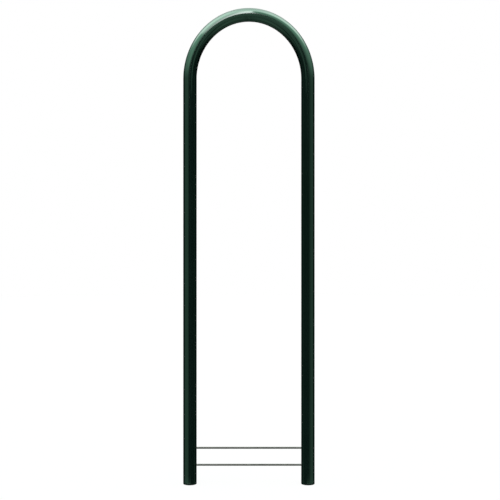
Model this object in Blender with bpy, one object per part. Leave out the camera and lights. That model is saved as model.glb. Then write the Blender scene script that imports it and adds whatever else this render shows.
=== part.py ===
"""Garden arch stand: a tall inverted U of round steel tube, with two anchor rods near the feet.

Units are metres, +Z is up. The arch stands in the XZ plane, its legs at -X and +X, and the origin is on
the ground midway between the feet. Each piece is one object. The pieces that fit together share their
sizes and their places through the named values below.
"""

from math import atan2, cos, pi, sin

import bmesh
import bpy
from mathutils import Matrix, Vector

# Arch tube
HEIGHT = 1.500  # ground to the top of the arch
LEG_CENTRES = 0.372  # between the axes of the two legs
ARCH_RISE = 0.202  # from the end of the straight legs up to the tube's axis at the top
TUBE_DIA = 0.0424  # a standard round steel tube
TUBE_WALL = 0.0020

# Anchor rods
ROD_DIA = 0.0060
ROD_CHAMFER = 0.0006
LOWER_ROD_HEIGHT = 0.0600  # ground to the axis of the lower rod
ROD_SPACING = 0.0535  # between the axes of the two rods
ROD_END_GAP = 0.0010  # from each end of a rod to the far wall of the bore

# Foot caps
CAP_FLANGE = 0.0060  # height of the band under the end of the tube
CAP_EDGE = 0.0015  # rounding of the edge that stands on the ground
CAP_SHOULDER = 0.0005  # rounding of the flange's upper edge and of the barrel's top
CAP_DEPTH = 0.0260  # how far the barrel reaches into the tube
CAP_WALL = 0.0025
CAP_RIBS = 3
RIB_DEPTH = 0.0008  # how far each rib stands out of the barrel
RIB_CREST = 0.0008  # height of a rib's flat crest
RIB_TAPER = 0.0016  # height of the slope that leads a rib into the tube

# Clearance between pieces
FIT = 0.0003

# How finely round shapes are divided, and how they are shaded
TUBE_SIDES = 32
ARCH_STEPS = 36
ROD_SIDES = 16
EDGE_STEPS = 4
SHARP_ANGLE = pi / 6
MERGE = 1e-6

# Sizes that follow from those above
TUBE_RADIUS = TUBE_DIA / 2
BORE_RADIUS = TUBE_RADIUS - TUBE_WALL
HALF_SPAN = LEG_CENTRES / 2
TUBE_END = CAP_FLANGE + FIT
SPRING_HEIGHT = HEIGHT - TUBE_RADIUS - ARCH_RISE
UPPER_ROD_HEIGHT = LOWER_ROD_HEIGHT + ROD_SPACING
ROD_RADIUS = ROD_DIA / 2
ROD_LENGTH = 2 * (HALF_SPAN + BORE_RADIUS - ROD_END_GAP)
RIB_RADIUS = BORE_RADIUS - FIT
BARREL_RADIUS = RIB_RADIUS - RIB_DEPTH
CAP_TOP = CAP_FLANGE + CAP_DEPTH

GREEN_COAT = {"colour": (0.008, 0.036, 0.022, 1.0), "metallic": 0.0, "roughness": 0.25}
GREEN_PLASTIC = {"colour": (0.008, 0.032, 0.020, 1.0), "metallic": 0.0, "roughness": 0.40}
ZINC = {"colour": (0.33, 0.34, 0.33, 1.0), "metallic": 1.0, "roughness": 0.45}


def clear_scene():
    """Remove every object, so that the scene holds only the arch."""
    for obj in list(bpy.data.objects):
        bpy.data.objects.remove(obj, do_unlink=True)


def make_material(name, finish):
    """A Principled material with one colour, metallic value and roughness."""
    material = bpy.data.materials.new(name)
    material.use_nodes = True
    shader = material.node_tree.nodes["Principled BSDF"]
    shader.inputs["Base Color"].default_value = finish["colour"]
    shader.inputs["Metallic"].default_value = finish["metallic"]
    shader.inputs["Roughness"].default_value = finish["roughness"]
    return material


def add_object(name, data, finish=None):
    """Link an object to the scene and give it its own material, if it has a finish."""
    obj = bpy.data.objects.new(name, data)
    bpy.context.scene.collection.objects.link(obj)
    if finish:
        obj.data.materials.append(make_material(name, finish))
    return obj


def shade_round(mesh):
    """Smooth the round faces and keep the real edges sharp."""
    mesh.shade_smooth()
    mesh.set_sharp_from_angle(angle=SHARP_ANGLE)


def arch_stations():
    """Places along the tube's axis: up one leg, over half an ellipse and down the other leg.

    Each is a point and how far the axis has turned there from straight up.
    """
    stations = [(Vector((-HALF_SPAN, 0, TUBE_END)), 0.0)]
    for step in range(ARCH_STEPS + 1):
        angle = pi - pi * step / ARCH_STEPS
        point = Vector((HALF_SPAN * cos(angle), 0, SPRING_HEIGHT + ARCH_RISE * sin(angle)))
        turn = atan2(HALF_SPAN * sin(angle), -ARCH_RISE * cos(angle))
        stations.append((point, turn))
    stations.append((Vector((HALF_SPAN, 0, TUBE_END)), pi))
    return stations


def make_arch_tube():
    """The bent tube: a ring carried square to the axis, given its wall inwards and drilled for the rods."""
    bm = bmesh.new()
    rings = []
    for point, turn in arch_stations():
        place = Matrix.Translation(point) @ Matrix.Rotation(turn, 4, "Y")
        made = bmesh.ops.create_circle(bm, segments=TUBE_SIDES, radius=TUBE_RADIUS, matrix=place)
        rings.append(list({edge for vert in made["verts"] for edge in vert.link_edges}))
    for first, second in zip(rings, rings[1:]):
        bmesh.ops.bridge_loops(bm, edges=first + second)
    bmesh.ops.recalc_face_normals(bm, faces=bm.faces)
    mesh = bpy.data.meshes.new("arch_tube")
    bm.to_mesh(mesh)
    bm.free()

    tube = add_object("arch_tube", mesh, GREEN_COAT)
    wall = tube.modifiers.new("wall", "SOLIDIFY")
    wall.thickness = TUBE_WALL
    wall.offset = -1
    wall.use_even_offset = True
    for height in (LOWER_ROD_HEIGHT, UPPER_ROD_HEIGHT):
        hole = tube.modifiers.new("rod_hole", "BOOLEAN")
        hole.operation = "DIFFERENCE"
        hole.solver = "EXACT"
        hole.object = make_rod_drill(height)
    shade_round(mesh)
    return tube


def make_rod_drill(height):
    """Cutter for one pair of rod holes: it ends on the legs' axes, so only the inner walls are cut."""
    drill = make_round_bar("rod_drill", ROD_RADIUS + FIT, LEG_CENTRES)
    drill.location.z = height
    drill.hide_render = True
    drill.display_type = "WIRE"
    return drill


def make_round_bar(name, radius, length, chamfer=0.0, finish=None):
    """A round bar along X, centred on the origin, with an optional chamfer on both ends."""
    bm = bmesh.new()
    bmesh.ops.create_cone(
        bm,
        cap_ends=True,
        segments=ROD_SIDES,
        radius1=radius,
        radius2=radius,
        depth=length,
        matrix=Matrix.Rotation(pi / 2, 4, "Y"),
    )
    if chamfer:
        rims = [edge for edge in bm.edges if abs(edge.verts[0].co.x - edge.verts[1].co.x) < MERGE]
        bmesh.ops.bevel(bm, geom=rims, offset=chamfer, segments=1, affect="EDGES")
    mesh = bpy.data.meshes.new(name)
    bm.to_mesh(mesh)
    bm.free()
    shade_round(mesh)
    return add_object(name, mesh, finish)


def make_anchor_rod(name, height):
    """One anchor rod, sprung into a pair of holes, its ends just short of the far walls of the bores."""
    rod = make_round_bar(name, ROD_RADIUS, ROD_LENGTH, ROD_CHAMFER, ZINC)
    rod.location.z = height
    return rod


def round_corner(radius, height, size, start, end):
    """Points on a quarter circle about (radius, height), from one angle to another."""
    angles = [start + (end - start) * step / EDGE_STEPS for step in range(EDGE_STEPS + 1)]
    return [(radius + size * cos(angle), height + size * sin(angle)) for angle in angles]


def cap_profile():
    """Radius and height along the foot cap's outline, from its underside round to the floor of its hollow."""
    outline = [(0.0, 0.0)]
    outline += round_corner(TUBE_RADIUS - CAP_EDGE, CAP_EDGE, CAP_EDGE, -pi / 2, 0)
    shoulder = (TUBE_RADIUS - CAP_SHOULDER, CAP_FLANGE - CAP_SHOULDER)
    outline += round_corner(*shoulder, CAP_SHOULDER, 0, pi / 2)
    outline.append((BARREL_RADIUS, CAP_FLANGE))
    rib_pitch = CAP_DEPTH / (CAP_RIBS + 1)
    for rib in range(CAP_RIBS):
        foot = CAP_FLANGE + rib_pitch * (rib + 1) - RIB_TAPER
        crest = foot + RIB_DEPTH
        outline.append((BARREL_RADIUS, foot))
        outline.append((RIB_RADIUS, crest))
        outline.append((RIB_RADIUS, crest + RIB_CREST))
        outline.append((BARREL_RADIUS, crest + RIB_CREST + RIB_TAPER))
    outline.append((BARREL_RADIUS, CAP_TOP - CAP_SHOULDER))
    outline.append((BARREL_RADIUS - CAP_SHOULDER, CAP_TOP))
    outline.append((BARREL_RADIUS - CAP_WALL, CAP_TOP))
    outline.append((BARREL_RADIUS - CAP_WALL, CAP_FLANGE))
    outline.append((0.0, CAP_FLANGE))
    return outline


def make_foot_cap(name, side):
    """A plug turned about its own axis: flange under the tube's end, ribbed barrel inside its bore."""
    bm = bmesh.new()
    verts = [bm.verts.new((radius, 0, height)) for radius, height in cap_profile()]
    edges = [bm.edges.new(pair) for pair in zip(verts, verts[1:])]
    bmesh.ops.spin(
        bm,
        geom=verts + edges,
        cent=(0, 0, 0),
        axis=(0, 0, 1),
        angle=2 * pi,
        steps=TUBE_SIDES,
        use_merge=True,
    )
    bmesh.ops.remove_doubles(bm, verts=bm.verts, dist=MERGE)
    bmesh.ops.recalc_face_normals(bm, faces=bm.faces)
    mesh = bpy.data.meshes.new(name)
    bm.to_mesh(mesh)
    bm.free()
    shade_round(mesh)
    cap = add_object(name, mesh, GREEN_PLASTIC)
    cap.location.x = side * HALF_SPAN
    return cap


def main():
    clear_scene()
    make_arch_tube()
    make_anchor_rod("lower_anchor_rod", LOWER_ROD_HEIGHT)
    make_anchor_rod("upper_anchor_rod", UPPER_ROD_HEIGHT)
    make_foot_cap("left_foot_cap", -1)
    make_foot_cap("right_foot_cap", 1)


main()
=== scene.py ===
"""Garden arch stand: the finished look of a tall inverted U of coated round tube.

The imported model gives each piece's place and outer size. What it doesn't say, such as a wall or a rounding,
is a setting. Each piece is a surface worked out from a short formula, and each finish is a set of shader
nodes. Units are metres, +Z is up, and the arch stands in the XZ plane.
"""

from math import pi

import bmesh
import bpy
import numpy as np
from bpy.props import FloatProperty, FloatVectorProperty, IntProperty, PointerProperty
from bpy.types import Operator, Panel, PropertyGroup
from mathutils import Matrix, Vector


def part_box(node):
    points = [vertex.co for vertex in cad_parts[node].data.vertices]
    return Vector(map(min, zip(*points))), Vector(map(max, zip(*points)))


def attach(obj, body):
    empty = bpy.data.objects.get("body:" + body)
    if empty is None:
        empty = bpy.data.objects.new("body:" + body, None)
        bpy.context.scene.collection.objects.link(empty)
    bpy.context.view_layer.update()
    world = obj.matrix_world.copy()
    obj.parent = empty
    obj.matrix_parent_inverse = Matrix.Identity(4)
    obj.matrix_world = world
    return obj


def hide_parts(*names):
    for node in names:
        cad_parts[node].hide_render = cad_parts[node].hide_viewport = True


bl_info = {
    "name": "Garden Arch Stand",
    "version": (1, 0, 0),
    "blender": (4, 5, 0),
    "location": "3D View > Sidebar > Garden Arch",
    "description": "A bent-tube garden arch with its anchor rods, foot caps and studio",
    "category": "Add Mesh",
}

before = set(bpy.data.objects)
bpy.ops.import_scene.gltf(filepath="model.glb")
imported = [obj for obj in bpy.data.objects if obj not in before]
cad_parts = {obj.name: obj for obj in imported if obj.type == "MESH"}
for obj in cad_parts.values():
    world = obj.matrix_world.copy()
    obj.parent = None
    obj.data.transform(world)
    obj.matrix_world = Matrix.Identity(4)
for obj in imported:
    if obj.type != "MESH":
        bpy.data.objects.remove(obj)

BODY = "root"
EDGE_MASK = "edge"  # the attribute that says how near a point is to a rubbed edge, and on a rod also how near it is to a leg
WELD = 1e-6  # points nearer than this are one
ARC_STEPS = 6  # faces along each small rounding

TUBE_LOW, TUBE_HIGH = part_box("arch_tube")
CAP_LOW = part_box("left_foot_cap")[0]
LOWER_ROD_LOW, LOWER_ROD_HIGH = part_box("lower_anchor_rod")
UPPER_ROD_LOW, UPPER_ROD_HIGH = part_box("upper_anchor_rod")
TUBE_RADIUS = TUBE_HIGH.y
HALF_SPAN = TUBE_HIGH.x - TUBE_RADIUS
ROD_RADIUS = LOWER_ROD_HIGH.z / 2 - LOWER_ROD_LOW.z / 2
ROD_LENGTH = LOWER_ROD_HIGH.x - LOWER_ROD_LOW.x
LOWER_ROD_HEIGHT = (LOWER_ROD_LOW.z + LOWER_ROD_HIGH.z) / 2
UPPER_ROD_HEIGHT = (UPPER_ROD_LOW.z + UPPER_ROD_HIGH.z) / 2
LEFT, RIGHT = -1, 1


# ---------------------------------------------------------------- sizes and colours


def length(name, description, default):
    """A size in metres."""
    return FloatProperty(
        name=name, description=description, default=default, min=0.0, unit="LENGTH", precision=5
    )


def share(name, description, default):
    """A value from 0 to 1."""
    return FloatProperty(
        name=name, description=description, default=default, min=0.0, max=1.0, subtype="FACTOR"
    )


def colour(name, description, default):
    """A linear colour."""
    return FloatVectorProperty(
        name=name, description=description, default=default, size=3, min=0.0, max=1.0, subtype="COLOR"
    )


def strength(name, description, default):
    """Brightness of a light, where 1 is a white sheet at full exposure."""
    return FloatProperty(name=name, description=description, default=default, min=0.0)


def index(name, description, default):
    """A refractive index: the higher it is, the more a surface reflects."""
    return FloatProperty(name=name, description=description, default=default, min=1.0)


def count(name, description, default, low):
    """A whole number."""
    return IntProperty(name=name, description=description, default=default, min=low)


class TubeSizes(PropertyGroup):
    """The bent tube, and how finely it is divided into faces"""

    rise: length("Rise", "From the end of the straight legs up to the tube's axis at the top", 0.202)
    wall: length("Wall", "Thickness of the tube's wall", 0.0020)
    end_round: length("End rounding", "Rounding of the sawn ends", 0.0004)
    hole_fit: length("Hole fit", "Gap round each rod in its hole", 0.0003)
    hole_round: length("Hole rounding", "Rounding that the coat leaves on a drilled edge", 0.0003)
    hole_margin: length("Hole margin", "Half the height of the patch of fine faces round a hole", 0.0055)
    leg_row: length("Leg row", "Length of one row of faces along the legs", 0.025)
    sides: count("Sides", "Faces round the tube, a multiple of 8", 96, 32)
    patch_cells: count("Patch cells", "Faces from a hole's centre line to the side of its patch", 4, 2)
    bend_rows: count("Bend rows", "Rows of faces along the bend", 128, 32)


class RodSizes(PropertyGroup):
    """The two rods, and how finely they are divided into faces"""

    end_round: length("End rounding", "Rounding of the cut ends", 0.0006)
    row: length("Row", "Length of one row of faces along the rod", 0.008)
    sides: count("Sides", "Faces round the rod", 48, 12)


class CapSizes(PropertyGroup):
    """The plug in each foot of the tube"""

    flange: length("Flange", "Height of the band under the end of the tube", 0.0060)
    edge: length("Edge", "Rounding of the edge that stands on the ground", 0.0015)
    shoulder: length("Shoulder", "Rounding of the flange's upper edge", 0.0005)
    depth: length("Depth", "How far the barrel reaches into the tube", 0.0260)
    wall: length("Wall", "Thickness of the barrel's wall", 0.0025)
    fit: length("Fit", "Gap between the ribs and the bore", 0.0003)
    rib_depth: length("Rib depth", "How far a rib stands out of the barrel", 0.0008)
    rib_crest: length("Rib crest", "Height of a rib's flat crest", 0.0008)
    rib_taper: length("Rib taper", "Height of the slope that leads a rib into the tube", 0.0016)
    gate_radius: length("Gate radius", "Radius of the mark that moulding leaves underneath", 0.0016)
    gate_depth: length("Gate depth", "Depth of that mark", 0.0003)
    ribs: count("Ribs", "Ribs on each barrel", 3, 0)
    sides: count("Sides", "Faces round the cap", 96, 32)


class Finishes(PropertyGroup):
    """Colours and gloss of the coat, the zinc and the plastic"""

    coat: colour("Coat", "Powder coat", (0.0029, 0.0068, 0.0057))
    coat_pale: colour("Coat, thin", "Powder coat where it lies thinner", (0.0037, 0.0086, 0.0072))
    coat_worn: colour("Coat, worn", "Rubbed coat along edges", (0.018, 0.036, 0.028))
    coat_tint: colour("Gloss tint", "Tint of the gloss on the coat and the caps", (0.76, 1.0, 0.87))
    coat_rough: share("Coat roughness", "Roughness of the coat", 0.08)
    gloss: index("Coat gloss", "Refractive index of the coat", 1.8)
    satin: index("Cap gloss", "Refractive index of the plastic", 1.45)
    zinc: colour("Zinc", "Galvanised rod", (0.062, 0.058, 0.055))
    zinc_pale: colour("Zinc, pale", "Brighter grains of the zinc", (0.088, 0.083, 0.078))
    # Bright metal along the cut ends, and the zinc made brighter near each leg on the rods
    zinc_bright: colour("Zinc, worn", "Bright metal along the cut ends", (0.22, 0.22, 0.21))
    plastic: colour("Plastic", "Moulded foot cap", (0.0034, 0.0080, 0.0067))
    plastic_pale: colour("Plastic, pale", "Paler flow in the moulding", (0.0042, 0.0098, 0.0082))
    plastic_worn: colour("Plastic, worn", "Scuffed edge of the cap", (0.016, 0.030, 0.024))
    dust: colour("Dust", "Dry soil dust", (0.11, 0.095, 0.072))


class StudioSettings(PropertyGroup):
    """The camera, and how bright each light is"""

    distance: length("Camera distance", "From the camera to the plane of the arch", 2.94)
    view_width: length("View width", "Width of the view at the arch", 1.577)
    camera_height: length("Camera height", "Camera above the ground", 0.7374)
    camera_side: length("Camera side", "Camera to the right of the arch's middle", 0.0034)
    floor_radius: length("Floor radius", "Radius of the pale floor", 12.0)
    dome: strength("Dome", "Soft light overhead", 6.0)
    side: strength("Side panels", "Low panels to the left and right", 0.30)
    key: strength("Key", "Tall softbox left of the camera", 9.4)
    ground: strength("Ground", "Glow from below", 0.55)
    card: strength("Card", "Small card in front of the crown", 0.55)
    low_tint: colour("Low tint", "Colour of the low lights", (0.57, 1.0, 0.77))
    key_tint: colour("Key tint", "Colour of the softbox", (1.0, 0.85, 0.93))


# ---------------------------------------------------------------- surfaces


def grid_faces(rows, columns):
    """Corner numbers of the quads of a grid of rows by columns points."""
    first = (np.arange(rows - 1)[:, None] * columns + np.arange(columns - 1)[None, :]).ravel()
    return np.stack([first, first + 1, first + columns + 1, first + columns], axis=1)


def have_area(faces, points):
    """Which quads have any area: half the cross product of the diagonals is as long as the area."""
    corners = points[faces]
    across = np.cross(corners[:, 2] - corners[:, 0], corners[:, 3] - corners[:, 1])
    return np.linalg.norm(across, axis=1) > WELD**2


def surface_object(name, patches, material):
    """One closed mesh from several grids of points, welded where they meet.

    A patch is a grid of points, or a grid and a mask of the faces that it keeps.
    """
    points = []
    faces = []
    total = 0
    for patch in patches:
        grid, keep = patch if isinstance(patch, tuple) else (patch, None)
        rows, columns = grid.shape[:2]
        quads = grid_faces(rows, columns)
        if keep is not None:
            quads = quads[keep.ravel()]
        flat = grid.reshape(-1, 3)
        quads = quads[have_area(quads, flat)]
        points.append(flat)
        faces.append(quads + total)
        total += rows * columns
    used, corners = np.unique(np.concatenate(faces), return_inverse=True)
    mesh = bpy.data.meshes.new(name)
    mesh.from_pydata(np.concatenate(points)[used], [], corners.reshape(-1, 4).tolist())
    bm = bmesh.new()
    bm.from_mesh(mesh)
    bmesh.ops.remove_doubles(bm, verts=bm.verts, dist=WELD)
    bmesh.ops.recalc_face_normals(bm, faces=bm.faces)
    bm.to_mesh(mesh)
    bm.free()
    sides = np.empty(len(mesh.loops), dtype=np.int32)
    mesh.loops.foreach_get("edge_index", sides)
    open_edges = np.count_nonzero(np.bincount(sides, minlength=len(mesh.edges)) != 2)
    if open_edges:
        raise RuntimeError(f"{name} has {open_edges} edges that don't join two faces")
    mesh.shade_smooth()
    mesh.materials.append(material)
    obj = bpy.data.objects.new(name, mesh)
    bpy.context.scene.collection.objects.link(obj)
    return obj


def mark_edges(obj, nearness):
    """Keep, on each point, how near it is to an edge that gets rubbed: 1 on the edge, 0 away from it."""
    mesh = obj.data
    flat = np.empty(len(mesh.vertices) * 3)
    mesh.vertices.foreach_get("co", flat)
    layer = mesh.attributes.new(EDGE_MASK, "FLOAT", "POINT")
    layer.data.foreach_set("value", nearness(flat.reshape(-1, 3)).astype(np.float32))


def place_piece(obj, node):
    """The piece moves with the frame and stands for its node, which is hidden."""
    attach(obj, BODY)
    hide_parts(node)


def arc(centre, radius, start, end):
    """Points centre + radius (cos t, sin t), for t from start to end."""
    turn = np.linspace(start, end, ARC_STEPS + 1)
    return np.stack([centre[0] + radius * np.cos(turn), centre[1] + radius * np.sin(turn)], axis=1)


def closed_turn(sides):
    """Angles once round, with the last the same as the first."""
    turn = np.linspace(0, 2 * pi, sides + 1)
    turn[-1] = 0.0
    return turn


def evenly(start, end, step):
    """Even stops from start to end, about a step apart."""
    return np.linspace(start, end, max(2, int(round((end - start) / step)) + 1))


def turned_surface(side, radius, height, turn):
    """A profile turned about a leg's axis: x = side (half span + r cos a), y = r sin a, z = height.

    a = 0 faces away from the other leg and a = pi faces it.
    """
    radius = np.asarray(radius, float)[:, None]
    x = side * (HALF_SPAN + radius * np.cos(turn))
    y = radius * np.sin(turn)
    z = np.broadcast_to(np.asarray(height, float)[:, None], x.shape)
    return np.stack([x, y, z], axis=2)


# ---------------------------------------------------------------- arch tube


def bend_surface(radius, rise, rows, turn):
    """A circle of the given radius carried over the bend, square to the tube's axis.

    The axis is x = -h cos t, z = s + b sin t for t from 0 to pi: half an ellipse that leaves both legs
    upright, with h the half span, b the rise and s the height where the legs end. The circle is
    axis + r (cos a n + sin a Y), where n = (-b cos t, h sin t), made one long, points outwards.
    """
    spring = TUBE_HIGH.z - TUBE_RADIUS - rise
    along = np.linspace(0, pi, rows + 1)
    nothing = np.zeros_like(along)
    axis = np.stack([-HALF_SPAN * np.cos(along), nothing, spring + rise * np.sin(along)], axis=1)
    outwards = np.stack([-rise * np.cos(along), nothing, HALF_SPAN * np.sin(along)], axis=1)
    outwards /= np.linalg.norm(outwards, axis=1)[:, None]
    sideways = np.array([0.0, 1.0, 0.0])
    ring = np.cos(turn)[None, :, None] * outwards[:, None, :] + np.sin(turn)[None, :, None] * sideways
    return axis[:, None, :] + radius * ring


def leg_heights(sizes):
    """Heights of the rows of faces on a leg: fine round each hole, long between them."""
    cells = 2 * sizes.patch_cells
    heights = [np.array([TUBE_LOW.z + sizes.end_round])]
    for centre in (LOWER_ROD_HEIGHT, UPPER_ROD_HEIGHT):
        patch = np.linspace(centre - sizes.hole_margin, centre + sizes.hole_margin, cells + 1)
        heights.append(evenly(heights[-1][-1], patch[0], sizes.leg_row)[1:-1])
        heights.append(patch)
    spring = TUBE_HIGH.z - TUBE_RADIUS - sizes.rise
    heights.append(evenly(heights[-1][-1], spring, sizes.leg_row)[1:])
    return np.concatenate(heights)


def faces_off_patches(heights, sizes):
    """Mask of a leg's faces, without the squares that the drilled patches fill."""
    middle = (heights[:-1] + heights[1:]) / 2
    rows = np.zeros(len(middle), bool)
    for centre in (LOWER_ROD_HEIGHT, UPPER_ROD_HEIGHT):
        rows |= np.abs(middle - centre) < sizes.hole_margin
    half = sizes.sides // 2
    columns = np.zeros(sizes.sides, bool)
    columns[half - sizes.patch_cells : half + sizes.patch_cells] = True
    return ~(rows[:, None] & columns[None, :])


def square_outline(across, up):
    """The points (y, z) once round a rectangle, given its stops across and up."""
    bottom = np.stack([across, np.full_like(across, up[0])], axis=1)[:-1]
    right = np.stack([np.full_like(up, across[-1]), up], axis=1)[:-1]
    top = np.stack([across[::-1], np.full_like(across, up[-1])], axis=1)[:-1]
    left = np.stack([np.full_like(up, across[0]), up[::-1]], axis=1)
    return np.concatenate([bottom, right, top, left])


def wall_rings(radius, sizes, hole, rounding):
    """Rings on one face of the tube's wall, from the patch's square outline in to the edge of the hole.

    A ring is a mix of the square and of the circle in the same directions, (1 - u) circle + u square.
    Past the circle it follows a quarter round: its distance from the hole's axis is hole + q (1 - sin t)
    and its depth is q (1 - cos t). Returns the rings, with (y, z, depth) at each point.
    """
    lean = np.arange(-sizes.patch_cells, sizes.patch_cells + 1) * 2 * pi / sizes.sides
    across = radius * np.sin(lean)
    up = np.linspace(-sizes.hole_margin, sizes.hole_margin, 2 * sizes.patch_cells + 1)
    square = square_outline(across, up)
    heading = square / np.linalg.norm(square, axis=1)[:, None]
    mix = np.linspace(1, 0, ARC_STEPS)[:, None, None]
    flat = mix * square + (1 - mix) * heading * (hole + rounding)
    flat = np.concatenate([flat, np.zeros(flat.shape[:2] + (1,))], axis=2)
    turn = np.linspace(0, pi / 2, ARC_STEPS + 1)[1:, None, None]
    away = (hole + rounding * (1 - np.sin(turn))) * heading
    depth = np.broadcast_to(rounding * (1 - np.cos(turn)), away.shape[:2] + (1,))
    return np.concatenate([flat, np.concatenate([away, depth], axis=2)])


def drilled_patch(side, centre, sizes):
    """The wall round one hole, from the tube's outer face through the hole to its inner face.

    A point (y, z) at a depth under the outer face, of radius R, lies at
    x = side (half span - (sqrt(R^2 - y^2) - depth)). On the bore's face the depth counts the other way.
    """
    hole = ROD_RADIUS + sizes.hole_fit
    bore = TUBE_RADIUS - sizes.wall
    outer = wall_rings(TUBE_RADIUS, sizes, hole, sizes.hole_round)
    inner = wall_rings(bore, sizes, hole, sizes.hole_round)[::-1]
    outer_x = np.sqrt(TUBE_RADIUS**2 - outer[..., 0] ** 2) - outer[..., 2]
    inner_x = np.sqrt(bore**2 - inner[..., 0] ** 2) + inner[..., 2]
    rings = np.concatenate([outer, inner])
    x = side * (HALF_SPAN - np.concatenate([outer_x, inner_x]))
    return np.stack([x, rings[..., 0], rings[..., 1] + centre], axis=2)


def tube_end(side, sizes, turn):
    """The sawn end of a leg, a quarter round on each side of a flat rim, turned about the leg's axis."""
    low = TUBE_LOW.z
    lift = low + sizes.end_round
    bore = TUBE_RADIUS - sizes.wall
    outer = arc((TUBE_RADIUS - sizes.end_round, lift), sizes.end_round, 0, -pi / 2)
    inner = arc((bore + sizes.end_round, lift), sizes.end_round, -pi / 2, -pi)
    profile = np.concatenate([outer, inner])
    return turned_surface(side, profile[:, 0], profile[:, 1], turn)


def tube_edge_nearness(sizes):
    """How near a point is to a sawn end or to a drilled hole: exp(-distance / reach)."""
    reach = 0.0012
    hole = ROD_RADIUS + sizes.hole_fit

    def nearness(points):
        near = np.exp(-(points[:, 2] - TUBE_LOW.z) / reach)
        facing = np.abs(points[:, 0]) < HALF_SPAN
        for centre in (LOWER_ROD_HEIGHT, UPPER_ROD_HEIGHT):
            away = np.hypot(points[:, 1], points[:, 2] - centre) - hole
            near = np.maximum(near, facing * np.exp(-np.maximum(away, 0) / reach))
        return near

    return nearness


class GARDENARCH_OT_tube(Operator):
    """Bend the coated tube, with its sawn ends and its drilled holes"""

    bl_idname = "garden_arch.tube"
    bl_label = "Arch tube"

    def execute(self, context):
        sizes = context.scene.arch_tube_sizes
        turn = closed_turn(sizes.sides)
        heights = leg_heights(sizes)
        keep = faces_off_patches(heights, sizes)
        patches = []
        for radius in (TUBE_RADIUS, TUBE_RADIUS - sizes.wall):
            patches.append(bend_surface(radius, sizes.rise, sizes.bend_rows, turn))
            for side in (LEFT, RIGHT):
                leg = turned_surface(side, np.full_like(heights, radius), heights, turn)
                patches.append((leg, keep))
        for side in (LEFT, RIGHT):
            patches.append(tube_end(side, sizes, turn))
            for centre in (LOWER_ROD_HEIGHT, UPPER_ROD_HEIGHT):
                patches.append(drilled_patch(side, centre, sizes))
        tube = surface_object("arch_tube_coated", patches, powder_coat(context.scene.arch_finishes))
        mark_edges(tube, tube_edge_nearness(sizes))
        place_piece(tube, "arch_tube")
        return {"FINISHED"}


# ---------------------------------------------------------------- anchor rods


def rod_surface(height, sizes):
    """A round bar along X: (x, r sin a, height + r cos a), with r from a profile rounded at both ends."""
    half = ROD_LENGTH / 2
    rounding = sizes.end_round
    left_arc = arc((-half + rounding, ROD_RADIUS - rounding), rounding, pi, pi / 2)
    straight = evenly(-half + rounding, half - rounding, sizes.row)[1:-1]
    body = np.stack([straight, np.full_like(straight, ROD_RADIUS)], axis=1)
    right_arc = left_arc[::-1] * (-1, 1)
    centre = np.array([[-half, 0.0]])
    profile = np.concatenate([centre, left_arc, body, right_arc, centre * (-1, 1)])
    turn = closed_turn(sizes.sides)
    radius = profile[:, 1][:, None]
    x = np.broadcast_to(profile[:, 0][:, None], (len(profile), len(turn)))
    return np.stack([x, radius * np.sin(turn), height + radius * np.cos(turn)], axis=2)


def rod_end_and_leg_nearness(points):
    """How near a point is to a cut end, where the zinc is rubbed, or to a leg's face, near which the zinc is
    made brighter: exp(-distance / reach).

    The leg's face counts for a little less than the cut.
    """
    cut_reach, leg_reach, leg_share = 0.0015, 0.020, 0.8
    across = np.abs(points[:, 0])
    # Within a couple of centimetres of each leg the rod is made brighter.
    cut = np.exp((across - ROD_LENGTH / 2) / cut_reach)
    from_leg = np.abs(across - (HALF_SPAN - TUBE_RADIUS))
    return np.maximum(cut, leg_share * np.exp(-from_leg / leg_reach))


class GARDENARCH_OT_rods(Operator):
    """Cut the two galvanised rods that key the legs into the ground"""

    bl_idname = "garden_arch.rods"
    bl_label = "Anchor rods"

    def execute(self, context):
        sizes = context.scene.arch_rod_sizes
        finish = galvanised_zinc(context.scene.arch_finishes)
        for node, height in (("lower_anchor_rod", LOWER_ROD_HEIGHT), ("upper_anchor_rod", UPPER_ROD_HEIGHT)):
            rod = surface_object(node + "_zinc", [rod_surface(height, sizes)], finish)
            mark_edges(rod, rod_end_and_leg_nearness)
            place_piece(rod, node)
        return {"FINISHED"}


# ---------------------------------------------------------------- foot caps


def cap_profile(tube, sizes):
    """Radius and height along the cap's outline, from the middle of its underside to its hollow's floor.

    The mark of the gate comes first, then the flange, the barrel with its ribs, and the hollow. A rib's upper
    slope is its taper, and its lower slope is as high as the rib is deep.
    """
    rib = TUBE_RADIUS - tube.wall - sizes.fit
    barrel = rib - sizes.rib_depth
    top = sizes.flange + sizes.depth
    gate_ring = 0.6 * sizes.gate_radius
    pieces = [
        np.array([[0.0, sizes.gate_depth], [gate_ring, sizes.gate_depth]]),
        arc((sizes.gate_radius, 0.0), sizes.gate_depth, pi, pi / 2) * (1, -1) + (0, sizes.gate_depth),
        arc((TUBE_RADIUS - sizes.edge, sizes.edge), sizes.edge, -pi / 2, 0),
        arc((TUBE_RADIUS - sizes.shoulder, sizes.flange - sizes.shoulder), sizes.shoulder, 0, pi / 2),
        np.array([[barrel, sizes.flange]]),
    ]
    pitch = sizes.depth / (sizes.ribs + 1)
    for number in range(sizes.ribs):
        foot = sizes.flange + pitch * (number + 1) - sizes.rib_taper
        crest = foot + sizes.rib_depth
        far = crest + sizes.rib_crest
        pieces.append(np.array([[barrel, foot], [rib, crest], [rib, far], [barrel, far + sizes.rib_taper]]))
    bore = barrel - sizes.wall
    pieces.append(arc((barrel - sizes.shoulder, top - sizes.shoulder), sizes.shoulder, 0, pi / 2))
    pieces.append(arc((bore + sizes.shoulder, top - sizes.shoulder), sizes.shoulder, pi / 2, pi))
    pieces.append(arc((bore - sizes.shoulder, sizes.flange + sizes.shoulder), sizes.shoulder, 0, -pi / 2))
    pieces.append(np.array([[0.0, sizes.flange]]))
    return np.concatenate(pieces)


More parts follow.
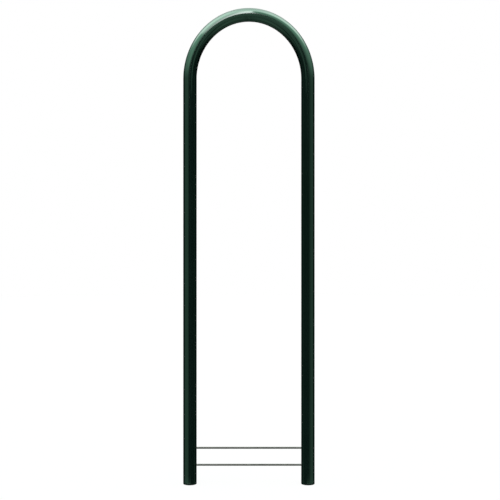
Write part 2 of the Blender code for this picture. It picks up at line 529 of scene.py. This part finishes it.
def cap_edge_nearness(points):
    """How near a point is to the edge that stands on the ground: exp(-distance / reach)."""
    reach = 0.0010
    away = np.hypot(np.abs(points[:, 0]) - HALF_SPAN, points[:, 1])
    return np.exp(-np.hypot(TUBE_RADIUS - away, points[:, 2] - CAP_LOW.z) / reach)


class GARDENARCH_OT_caps(Operator):
    """Mould the two ribbed plugs that close the feet"""

    bl_idname = "garden_arch.caps"
    bl_label = "Foot caps"

    def execute(self, context):
        scene = context.scene
        sizes = scene.arch_cap_sizes
        profile = cap_profile(scene.arch_tube_sizes, sizes)
        finish = moulded_plastic(scene.arch_finishes)
        turn = closed_turn(sizes.sides)
        for side, node in ((LEFT, "left_foot_cap"), (RIGHT, "right_foot_cap")):
            grid = turned_surface(side, profile[:, 0], CAP_LOW.z + profile[:, 1], turn)
            cap = surface_object(node + "_moulded", [grid], finish)
            mark_edges(cap, cap_edge_nearness)
            place_piece(cap, node)
        return {"FINISHED"}


# ---------------------------------------------------------------- finishes


def new_group(name, inputs, outputs):
    """An empty shader node group with named sockets, and its input and output nodes."""
    group = bpy.data.node_groups.new(name, "ShaderNodeTree")
    for title, kind, default in inputs:
        made = group.interface.new_socket(title, in_out="INPUT", socket_type=kind)
        made.default_value = default
    for title, kind in outputs:
        group.interface.new_socket(title, in_out="OUTPUT", socket_type=kind)
    return group, group.nodes.new("NodeGroupInput"), group.nodes.new("NodeGroupOutput")


def calculate(tree, operation, first, second=None, clamp=False):
    """A Math node. Each value is a number or another node's output."""
    node = tree.nodes.new("ShaderNodeMath")
    node.operation = operation
    node.use_clamp = clamp
    for place, value in enumerate((first, second)):
        if value is None:
            continue
        if isinstance(value, (int, float)):
            node.inputs[place].default_value = value
        else:
            tree.links.new(value, node.inputs[place])
    return node.outputs[0]


def chain(tree, operation, *values):
    """The same operation all along a row of values, as in ((a b) c) d."""
    result = values[0]
    for value in values[1:]:
        result = calculate(tree, operation, result, value)
    return result


def remap(tree, value, low, high, bottom=0.0, top=1.0, smooth=True):
    """A value taken from low..high to bottom..top and held beyond them, with soft ends if smooth."""
    node = tree.nodes.new("ShaderNodeMapRange")
    node.interpolation_type = "SMOOTHSTEP" if smooth else "LINEAR"
    tree.links.new(value, node.inputs["Value"])
    for name, number in (("From Min", low), ("From Max", high), ("To Min", bottom), ("To Max", top)):
        node.inputs[name].default_value = number
    return node.outputs["Result"]


def place_on(tree, stretch=(1, 1, 1)):
    """Object coordinates, stretched along each axis."""
    coordinates = tree.nodes.new("ShaderNodeTexCoord")
    mapping = tree.nodes.new("ShaderNodeMapping")
    mapping.inputs["Scale"].default_value = stretch
    tree.links.new(coordinates.outputs["Object"], mapping.inputs["Vector"])
    return mapping.outputs["Vector"]


def noise(tree, vector, scale, detail=3.0, roughness=0.5):
    """Cloudy noise. The scale is a number or a node's output."""
    node = tree.nodes.new("ShaderNodeTexNoise")
    node.inputs["Detail"].default_value = detail
    node.inputs["Roughness"].default_value = roughness
    tree.links.new(vector, node.inputs["Vector"])
    if isinstance(scale, (int, float)):
        node.inputs["Scale"].default_value = scale
    else:
        tree.links.new(scale, node.inputs["Scale"])
    return node.outputs["Fac"]


def blend_colours(tree, amount, first, second):
    """A colour mixed from two, by an amount that changes over the surface."""
    node = tree.nodes.new("ShaderNodeMix")
    node.data_type = "RGBA"
    tree.links.new(amount, node.inputs["Factor"])
    for name, value in (("A", first), ("B", second)):
        place = [item for item in node.inputs if item.name == name and item.type == "RGBA"][0]
        if hasattr(value, "is_output"):
            tree.links.new(value, place)
        else:
            place.default_value = (*value, 1.0)
    return [item for item in node.outputs if item.type == "RGBA"][0]


def shared_group(name, build):
    """The named group, built the first time that it is asked for."""
    return bpy.data.node_groups.get(name) or build(name)


def build_colour_drift(name):
    """Two colours that drift into each other: slow clouds, with a little finer mottle over them."""
    group, given, result = new_group(
        name,
        [
            ("Main", "NodeSocketColor", (0.5, 0.5, 0.5, 1)),
            ("Other", "NodeSocketColor", (0.6, 0.6, 0.6, 1)),
            ("Cloud Scale", "NodeSocketFloat", 6.0),
            ("Mottle Scale", "NodeSocketFloat", 200.0),
        ],
        [("Color", "NodeSocketColor"), ("Mask", "NodeSocketFloat")],
    )
    where = place_on(group)
    cloud_share, mottle_share = 0.65, 0.35
    clouds = remap(group, noise(group, where, given.outputs["Cloud Scale"]), low=0.35, high=0.65)
    mottle = remap(group, noise(group, where, given.outputs["Mottle Scale"]), low=0.3, high=0.7)
    clouds = calculate(group, "MULTIPLY", clouds, cloud_share)
    mottle = calculate(group, "MULTIPLY", mottle, mottle_share)
    mask = calculate(group, "ADD", clouds, mottle, clamp=True)
    mixed = blend_colours(group, mask, given.outputs["Main"], given.outputs["Other"])
    group.links.new(mixed, result.inputs["Color"])
    group.links.new(mask, result.inputs["Mask"])
    return group


def build_edge_wear(name):
    """Rubbed edges: the piece's own edge mask, broken up by noise so that the wear comes and goes."""
    group, given, result = new_group(
        name,
        [
            ("Amount", "NodeSocketFloat", 0.5),
            ("Break Scale", "NodeSocketFloat", 400.0),
        ],
        [("Mask", "NodeSocketFloat")],
    )
    edge = group.nodes.new("ShaderNodeAttribute")
    edge.attribute_name = EDGE_MASK
    breaks = noise(group, place_on(group), given.outputs["Break Scale"], detail=5.0)
    broken = remap(group, breaks, low=0.35, high=0.7)
    near = remap(group, edge.outputs["Fac"], low=0.25, high=0.95)
    mask = chain(group, "MULTIPLY", near, broken, given.outputs["Amount"])
    group.links.new(mask, result.inputs["Mask"])
    return group


def build_surface_ripple(name):
    """The gentle unevenness of a coated or moulded surface: long ripples with finer grain on them."""
    group, given, result = new_group(
        name,
        [
            ("Ripple Scale", "NodeSocketFloat", 400.0),
            ("Grain Scale", "NodeSocketFloat", 2500.0),
            ("Grain", "NodeSocketFloat", 0.2),
        ],
        [("Height", "NodeSocketFloat")],
    )
    where = place_on(group)
    ripple = noise(group, where, given.outputs["Ripple Scale"], detail=1.0)
    grain = noise(group, where, given.outputs["Grain Scale"], detail=2.0)
    grain = calculate(group, "MULTIPLY", grain, given.outputs["Grain"])
    height = calculate(group, "ADD", ripple, grain)
    group.links.new(height, result.inputs["Height"])
    return group


def build_settled_dust(name):
    """Dust: more on faces that look up, and more near the ground, in patches.

    Near the ground it is 1 - z / reach.
    """
    group, given, result = new_group(
        name,
        [
            ("Amount", "NodeSocketFloat", 0.2),
            ("Reach", "NodeSocketFloat", 0.12),
            ("Patch Scale", "NodeSocketFloat", 60.0),
        ],
        [("Mask", "NodeSocketFloat")],
    )
    where = place_on(group)
    split = group.nodes.new("ShaderNodeSeparateXYZ")
    group.links.new(where, split.inputs[0])
    low = calculate(group, "DIVIDE", split.outputs["Z"], given.outputs["Reach"])
    near_ground = calculate(group, "SUBTRACT", 1.0, low, clamp=True)
    facing = group.nodes.new("ShaderNodeNewGeometry")
    turned_up = group.nodes.new("ShaderNodeSeparateXYZ")
    group.links.new(facing.outputs["Normal"], turned_up.inputs[0])
    upward = remap(group, turned_up.outputs["Z"], low=0.55, high=1.0, bottom=0.0, top=0.35)
    lies = calculate(group, "MAXIMUM", near_ground, upward)
    clouds = noise(group, where, given.outputs["Patch Scale"], detail=6.0, roughness=0.6)
    patches = remap(group, clouds, low=0.4, high=0.75)
    mask = chain(group, "MULTIPLY", lies, patches, given.outputs["Amount"])
    group.links.new(mask, result.inputs["Mask"])
    return group


def add_effect(tree, name, build, **values):
    """One of the shared groups, placed in a material with its own values."""
    node = tree.nodes.new("ShaderNodeGroup")
    node.node_tree = shared_group(name, build)
    for title, value in values.items():
        place = node.inputs[title.replace("_", " ")]
        place.default_value = (*value, 1.0) if isinstance(value, (tuple, list)) else value
    return node


def layered_finish(name, main, other, worn, dust, drift, wear, ripple, settled):
    """A material of drifting colour, rubbed edges and dust, and the masks that its roughness and bump use."""
    material = bpy.data.materials.new(name)
    material.use_nodes = True
    tree = material.node_tree
    shader = tree.nodes["Principled BSDF"]
    base = add_effect(tree, "Colour Drift", build_colour_drift, Main=tuple(main), Other=tuple(other), **drift)
    rubbed = add_effect(tree, "Edge Wear", build_edge_wear, **wear)
    lying = add_effect(tree, "Settled Dust", build_settled_dust, **settled)
    uneven = add_effect(tree, "Surface Ripple", build_surface_ripple, **ripple)
    with_wear = blend_colours(tree, rubbed.outputs["Mask"], base.outputs["Color"], tuple(worn))
    with_dust = blend_colours(tree, lying.outputs["Mask"], with_wear, tuple(dust))
    tree.links.new(with_dust, shader.inputs["Base Color"])
    return material, tree, shader, {
        "drift": base.outputs["Mask"],
        "wear": rubbed.outputs["Mask"],
        "dust": lying.outputs["Mask"],
        "height": uneven.outputs["Height"],
    }


def set_roughness(tree, shader, masks, plain, drift, wear, dust):
    """Roughness = plain + drift, wear and dust, each times its own mask."""
    value = calculate(tree, "MULTIPLY", masks["drift"], drift)
    value = calculate(tree, "ADD", value, plain)
    value = calculate(tree, "ADD", value, calculate(tree, "MULTIPLY", masks["wear"], wear))
    value = calculate(tree, "ADD", value, calculate(tree, "MULTIPLY", masks["dust"], dust), clamp=True)
    tree.links.new(value, shader.inputs["Roughness"])


def set_bump(tree, shader, height, depth, amount):
    """Bump of the given depth in metres."""
    bump = tree.nodes.new("ShaderNodeBump")
    bump.inputs["Distance"].default_value = depth
    bump.inputs["Strength"].default_value = amount
    tree.links.new(height, bump.inputs["Height"])
    tree.links.new(bump.outputs["Normal"], shader.inputs["Normal"])


def powder_coat(finishes):
    """Glossy fir-green powder coat: faint ripples, slightly uneven colour, rubbed edges, a little dust."""
    material, tree, shader, masks = layered_finish(
        "fir_green_powder_coat",
        finishes.coat,
        finishes.coat_pale,
        finishes.coat_worn,
        finishes.dust,
        drift={"Cloud_Scale": 5.0, "Mottle_Scale": 260.0},
        wear={"Amount": 0.30, "Break_Scale": 700.0},
        ripple={"Ripple_Scale": 300.0, "Grain_Scale": 2600.0, "Grain": 0.03},
        settled={"Amount": 0.03, "Reach": 0.10, "Patch_Scale": 70.0},
    )
    shader.inputs["Specular Tint"].default_value = (*finishes.coat_tint, 1.0)
    shader.inputs["IOR"].default_value = finishes.gloss
    set_roughness(tree, shader, masks, plain=finishes.coat_rough, drift=0.03, wear=0.30, dust=0.9)
    set_bump(tree, shader, masks["height"], depth=0.00001, amount=0.4)
    return material


def galvanised_zinc(finishes):
    """Dull galvanised rod: zinc grains, lines drawn along the bar, brighter cut ends, zinc made brighter near
    each leg and some soil.
    """
    material, tree, shader, masks = layered_finish(
        "dull_galvanised_zinc",
        finishes.zinc,
        finishes.zinc_pale,
        finishes.zinc_bright,
        finishes.dust,
        drift={"Cloud_Scale": 30.0, "Mottle_Scale": 900.0},
        # The wear mask also makes the zinc brighter and smoother within a couple of centimetres of each leg.
        wear={"Amount": 0.9, "Break_Scale": 900.0},
        ripple={"Ripple_Scale": 900.0, "Grain_Scale": 4000.0, "Grain": 0.5},
        settled={"Amount": 0.15, "Reach": 0.30, "Patch_Scale": 120.0},
    )
    metal = calculate(tree, "SUBTRACT", 1.0, masks["dust"], clamp=True)
    tree.links.new(metal, shader.inputs["Metallic"])
    set_roughness(tree, shader, masks, plain=0.42, drift=0.12, wear=-0.10, dust=0.5)
    long_and_fine, drawn_depth = (40, 2200, 2200), 0.8
    drawn = noise(tree, place_on(tree, long_and_fine), scale=1.0, detail=4.0)
    drawn = calculate(tree, "MULTIPLY", drawn, drawn_depth)
    height = calculate(tree, "ADD", masks["height"], drawn)
    set_bump(tree, shader, height, depth=0.00003, amount=0.6)
    return material


def moulded_plastic(finishes):
    """Satin moulded plug in the tube's green: faint flow in the colour, fine grain, a scuffed lower edge."""
    material, tree, shader, masks = layered_finish(
        "moulded_green_plug",
        finishes.plastic,
        finishes.plastic_pale,
        finishes.plastic_worn,
        finishes.dust,
        drift={"Cloud_Scale": 40.0, "Mottle_Scale": 600.0},
        wear={"Amount": 0.25, "Break_Scale": 600.0},
        ripple={"Ripple_Scale": 700.0, "Grain_Scale": 3800.0, "Grain": 0.6},
        settled={"Amount": 0.04, "Reach": 0.02, "Patch_Scale": 150.0},
    )
    shader.inputs["Specular Tint"].default_value = (*finishes.coat_tint, 1.0)
    shader.inputs["IOR"].default_value = finishes.satin
    set_roughness(tree, shader, masks, plain=0.13, drift=0.05, wear=0.30, dust=0.7)
    set_bump(tree, shader, masks["height"], depth=0.00003, amount=0.5)
    return material


# ---------------------------------------------------------------- studio


WHITE = (1.0, 1.0, 1.0)
BLACK = (0.0, 0.0, 0.0)

# The sky's shapes. A pair is where a soft edge begins and where it ends, along x, y or z of the direction.
DOME_CLIMB = (0.17, 0.60)  # z
CLIMB_SHARE = 0.33  # as much of the dome's light as the climb reaches
DOME_JUMP = (0.50, 0.73)  # z
DOME_LEAN = 0.35  # how much later the jump comes in front of the arch, for each unit of -y
ZENITH = (0.94, 1.0)  # z
ZENITH_LEVEL = 0.6
BEHIND = (0.0, 0.5)  # y
BEHIND_LEVEL = 0.32

BOX_MIDDLE = 0.02  # x of the softbox's lowest point
BOX_SLOPE = 0.75  # how steeply its lower edge rises from there, to the left and to the right
BOX_LOWER = (0.188, 0.224)  # z above the sloping line
BOX_LEAN = 0.08  # how far its right edge leans out, in x for each unit of z
BOX_RIGHT = (-0.012, -0.032)  # x past the leaning line
BOX_TOP = (0.70, 0.92)  # z
BOX_BACK = (-0.30, -0.05)  # y
BOX_DIM = (-0.19, 0.0)  # x
BOX_DIM_LEVEL = 0.30

SPILL_RIGHT = (-0.10, -0.28)  # x
SPILL_LEFT = (-0.90, -0.60)  # x
SPILL_LOWER = (0.20, 0.32)  # z
SPILL_BACK = (-0.30, 0.0)  # y
SPILL_LEVEL = 0.07  # as a share of the softbox's light

PANEL_HEIGHT = (0.30, 0.50)  # z, up and down from the horizon
PANEL_LEFT = (-0.36, -0.40)  # x
PANEL_RIGHT = (0.20, 0.92)  # x
PANEL_BACK = (-0.15, 0.22)  # y

GROUND_EDGE = (-0.23, -0.74)  # z
GROUND_BACK = (-0.16, 0.06)  # y
GROUND_BACK_LEVEL = 0.5

# The flags and the card, in metres
FLAG_LOW, FLAG_HIGH = -0.90, 1.325
FRONT_FLAG = (-0.60, -0.026)  # y from and to
BACK_FLAG = (0.004, 0.22)
CARD_HALF_WIDTH = 0.12
CARD_Y = -0.25
CARD_LOW, CARD_HIGH = 1.26, 1.50
CARD_FADE = (1.33, 1.43)  # heights between which it brightens
CARD_MIDDLE = (0.03, 0.06)  # distances from its middle between which the lower glow fades
CARD_MIDDLE_FOOT = (1.26, 1.30)  # heights between which the lower glow sets in
CARD_MIDDLE_LEVEL = 0.8

FLOOR_SIDES = 96
FLOOR_GREY = (0.02, 0.02, 0.02)
FLOOR_GLOW = 0.95
SENSOR_WIDTH = 36.0  # millimetres


def glow(tree, tint, amount):
    """A sky term: a colour times an amount that changes with the direction."""
    node = tree.nodes.new("ShaderNodeBackground")
    node.inputs["Color"].default_value = (*tint, 1.0)
    tree.links.new(amount, node.inputs["Strength"])
    return node.outputs[0]


def together(tree, first, second):
    """Two sky terms as one."""
    node = tree.nodes.new("ShaderNodeAddShader")
    tree.links.new(first, node.inputs[0])
    tree.links.new(second, node.inputs[1])
    return node.outputs[0]


def sky_dome(tree, direction, settings):
    """Light overhead in two steps: a slow climb with z, then a jump that comes later in front of the arch.

    Both are dimmer behind the arch, and the second is dimmer straight overhead.
    """
    along, up = direction[1:]
    behind = remap(tree, along, *BEHIND, bottom=1.0, top=BEHIND_LEVEL, smooth=False)
    climb = remap(tree, up, *DOME_CLIMB, smooth=False)
    climb = chain(tree, "MULTIPLY", behind, settings.dome * CLIMB_SHARE, climb)
    in_front = calculate(tree, "MINIMUM", along, 0.0)
    lifted = calculate(tree, "ADD", up, calculate(tree, "MULTIPLY", in_front, DOME_LEAN))
    jump = remap(tree, lifted, *DOME_JUMP)
    zenith = remap(tree, up, *ZENITH, bottom=1.0, top=ZENITH_LEVEL)
    return climb, chain(tree, "MULTIPLY", behind, settings.dome * (1 - CLIMB_SHARE), jump, zenith)


def sky_softbox(tree, direction, settings):
    """A tall softbox left of the camera, dimmer towards its left, and the light that it spills further left.

    Its lower edge lies a little above z = slope |x - middle|, and its right edge a little left of x = lean z.
    """
    across, along, up = direction
    from_middle = calculate(tree, "ABSOLUTE", calculate(tree, "SUBTRACT", across, BOX_MIDDLE))
    over_line = calculate(tree, "SUBTRACT", up, calculate(tree, "MULTIPLY", from_middle, BOX_SLOPE))
    past_side = calculate(tree, "SUBTRACT", across, calculate(tree, "MULTIPLY", up, BOX_LEAN))
    softbox = chain(
        tree,
        "MULTIPLY",
        remap(tree, over_line, *BOX_LOWER),
        remap(tree, past_side, *BOX_RIGHT),
        remap(tree, up, *BOX_TOP, bottom=1.0, top=0.0),
        remap(tree, along, *BOX_BACK, bottom=1.0, top=0.0),
        remap(tree, across, *BOX_DIM, bottom=BOX_DIM_LEVEL * settings.key, top=settings.key),
    )
    spill = chain(
        tree,
        "MULTIPLY",
        remap(tree, across, *SPILL_RIGHT),
        remap(tree, across, *SPILL_LEFT),
        remap(tree, up, *SPILL_LOWER, bottom=0.0, top=SPILL_LEVEL * settings.key),
        remap(tree, along, *SPILL_BACK, bottom=1.0, top=0.0),
    )
    return softbox, spill


def sky_panels(tree, direction, settings):
    """A low panel on each side, near the horizon. The right one brightens slowly with x."""
    across, along, up = direction
    left = remap(tree, across, *PANEL_LEFT)
    right = remap(tree, across, *PANEL_RIGHT, smooth=False)
    near_horizon = remap(tree, calculate(tree, "ABSOLUTE", up), *PANEL_HEIGHT, bottom=1.0, top=0.0)
    in_front = remap(tree, along, *PANEL_BACK, bottom=settings.side, top=0.0)
    return chain(tree, "MULTIPLY", calculate(tree, "ADD", left, right), near_horizon, in_front)


def sky_ground(tree, direction, settings):
    """A glow from below that grows downwards, dimmer behind the arch."""
    along, up = direction[1:]
    below = remap(tree, up, *GROUND_EDGE, bottom=0.0, top=settings.ground, smooth=False)
    behind = remap(tree, along, *GROUND_BACK, bottom=1.0, top=GROUND_BACK_LEVEL)
    return calculate(tree, "MULTIPLY", below, behind)


def build_sky(scene, settings):
    """A sky that is plain white to the camera and a set of soft lights to everything else."""
    world = bpy.data.worlds.new("studio")
    scene.world = world
    world.use_nodes = True
    tree = world.node_tree
    tree.nodes.clear()
    coordinates = tree.nodes.new("ShaderNodeTexCoord")
    split = tree.nodes.new("ShaderNodeSeparateXYZ")
    tree.links.new(coordinates.outputs["Generated"], split.inputs["Vector"])
    direction = [split.outputs[name] for name in "XYZ"]

    climb, dome = sky_dome(tree, direction, settings)
    softbox, spill = sky_softbox(tree, direction, settings)
    ground = sky_ground(tree, direction, settings)
    low = chain(tree, "ADD", ground, spill, sky_panels(tree, direction, settings), climb)
    lights = together(tree, glow(tree, settings.low_tint, low), glow(tree, WHITE, dome))
    lights = together(tree, lights, glow(tree, settings.key_tint, softbox))

    white = tree.nodes.new("ShaderNodeBackground")
    white.inputs["Color"].default_value = (*WHITE, 1.0)
    path = tree.nodes.new("ShaderNodeLightPath")
    seen = tree.nodes.new("ShaderNodeMixShader")
    output = tree.nodes.new("ShaderNodeOutputWorld")
    tree.links.new(path.outputs["Is Camera Ray"], seen.inputs["Fac"])
    tree.links.new(lights, seen.inputs[1])
    tree.links.new(white.outputs[0], seen.inputs[2])
    tree.links.new(seen.outputs[0], output.inputs["Surface"])


def plain_material(name, tint, roughness):
    """One flat colour without gloss, for the floor, the flags and the card."""
    material = bpy.data.materials.new(name)
    material.use_nodes = True
    shader = material.node_tree.nodes["Principled BSDF"]
    shader.inputs["Base Color"].default_value = (*tint, 1.0)
    shader.inputs["Roughness"].default_value = roughness
    shader.inputs["Specular IOR Level"].default_value = 0.0
    return material


def hidden_sheet(name, corners, material):
    """A flat sheet of studio kit that only reflections show.

    It is hidden from the camera and from soft light, and throws no shadow.
    """
    mesh = bpy.data.meshes.new(name)
    mesh.from_pydata(corners, [], [(0, 1, 2, 3)])
    mesh.materials.append(material)
    sheet = bpy.data.objects.new(name, mesh)
    bpy.context.scene.collection.objects.link(sheet)
    sheet.visible_camera = False
    sheet.visible_diffuse = False
    sheet.visible_shadow = False


def build_flags():
    """Black flags between the legs, in the plane x = 0, that keep each leg's inner half dark.

    A slit between them lets the rods through, and a thin line of side light with them.
    """
    black = plain_material("black_flag", BLACK, roughness=1.0)
    for name, (front, back) in (("front_flag", FRONT_FLAG), ("back_flag", BACK_FLAG)):
        corners = [(0, front, FLAG_LOW), (0, back, FLAG_LOW), (0, back, FLAG_HIGH), (0, front, FLAG_HIGH)]
        hidden_sheet(name, corners, black)


def build_card(settings):
    """A small glowing card in front of the crown, which lights the crown's face and not the legs.

    It is black at its lower corners and brightens upwards, with a glow lower down in its middle.
    """
    material = plain_material("soft_card", BLACK, roughness=0.5)
    tree = material.node_tree
    shader = tree.nodes["Principled BSDF"]
    shader.inputs["Emission Strength"].default_value = settings.card
    split = tree.nodes.new("ShaderNodeSeparateXYZ")
    tree.links.new(place_on(tree), split.inputs[0])
    from_middle, height = calculate(tree, "ABSOLUTE", split.outputs["X"]), split.outputs["Z"]
    upper = remap(tree, height, *CARD_FADE, smooth=False)
    middle = remap(tree, from_middle, *CARD_MIDDLE, bottom=CARD_MIDDLE_LEVEL, top=0.0)
    middle = calculate(tree, "MULTIPLY", middle, remap(tree, height, *CARD_MIDDLE_FOOT))
    bright = calculate(tree, "MAXIMUM", upper, middle)
    tinted = blend_colours(tree, bright, BLACK, tuple(settings.low_tint))
    tree.links.new(tinted, shader.inputs["Emission Color"])
    corners = [
        (-CARD_HALF_WIDTH, CARD_Y, CARD_LOW),
        (CARD_HALF_WIDTH, CARD_Y, CARD_LOW),
        (CARD_HALF_WIDTH, CARD_Y, CARD_HIGH),
        (-CARD_HALF_WIDTH, CARD_Y, CARD_HIGH),
    ]
    hidden_sheet("crown_card", corners, material)


def build_floor(settings):
    """A pale floor disc: the circle (r cos a, r sin a, 0). It is pale by its own even glow, just under white.

    It is hidden from soft light and from reflections, so it throws no glow up the legs.
    """
    turn = closed_turn(FLOOR_SIDES)[:-1]
    rim = np.stack([np.cos(turn), np.sin(turn), np.zeros_like(turn)], axis=1) * settings.floor_radius
    mesh = bpy.data.meshes.new("floor")
    mesh.from_pydata(rim.tolist(), [], [list(range(FLOOR_SIDES))])
    pale = plain_material("pale_floor", FLOOR_GREY, roughness=0.9)
    shader = pale.node_tree.nodes["Principled BSDF"]
    shader.inputs["Emission Color"].default_value = (*WHITE, 1.0)
    shader.inputs["Emission Strength"].default_value = FLOOR_GLOW
    mesh.materials.append(pale)
    floor = bpy.data.objects.new("floor", mesh)
    bpy.context.scene.collection.objects.link(floor)
    floor.visible_diffuse = False
    floor.visible_glossy = False


def build_camera(scene, settings):
    """A level camera in front of the arch."""
    camera = bpy.data.cameras.new("camera")
    camera.sensor_width = SENSOR_WIDTH
    camera.lens = SENSOR_WIDTH * settings.distance / settings.view_width
    obj = bpy.data.objects.new("camera", camera)
    obj.location = (settings.camera_side, -settings.distance, settings.camera_height)
    obj.rotation_euler = (pi / 2, 0, 0)
    scene.collection.objects.link(obj)
    scene.camera = obj


class GARDENARCH_OT_studio(Operator):
    """Set the floor, the lights and the camera"""

    bl_idname = "garden_arch.studio"
    bl_label = "Studio"

    def execute(self, context):
        scene = context.scene
        settings = scene.arch_studio
        scene.view_settings.view_transform = "Standard"
        build_camera(scene, settings)
        build_sky(scene, settings)
        build_flags()
        build_card(settings)
        build_floor(settings)
        return {"FINISHED"}


# ---------------------------------------------------------------- panel and start


SETTINGS = {
    "arch_tube_sizes": TubeSizes,
    "arch_rod_sizes": RodSizes,
    "arch_cap_sizes": CapSizes,
    "arch_finishes": Finishes,
    "arch_studio": StudioSettings,
}
OPERATORS = (GARDENARCH_OT_tube, GARDENARCH_OT_rods, GARDENARCH_OT_caps, GARDENARCH_OT_studio)


class GARDENARCH_PT_panel(Panel):
    """Buttons and values for the garden arch"""

    bl_idname = "GARDENARCH_PT_panel"
    bl_label = "Garden Arch"
    bl_space_type = "VIEW_3D"
    bl_region_type = "UI"
    bl_category = "Garden Arch"

    def draw(self, context):
        for operator in OPERATORS:
            self.layout.operator(operator.bl_idname)
        for name, group in SETTINGS.items():
            box = self.layout.box()
            box.label(text=name.replace("arch_", "").replace("_", " ").capitalize())
            for title in group.__annotations__:
                box.prop(getattr(context.scene, name), title)


CLASSES = (*SETTINGS.values(), *OPERATORS, GARDENARCH_PT_panel)


def register():
    """Make the classes and their settings known."""
    for cls in CLASSES:
        bpy.utils.register_class(cls)
    for name, group in SETTINGS.items():
        setattr(bpy.types.Scene, name, PointerProperty(type=group))


def unregister():
    """Take them away again."""
    for name in SETTINGS:
        delattr(bpy.types.Scene, name)
    for cls in reversed(CLASSES):
        bpy.utils.unregister_class(cls)


def main():
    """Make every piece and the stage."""
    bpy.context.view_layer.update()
    register()
    bpy.ops.garden_arch.tube()
    bpy.ops.garden_arch.rods()
    bpy.ops.garden_arch.caps()
    bpy.ops.garden_arch.studio()
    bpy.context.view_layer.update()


if __name__ == "__main__":
    main()
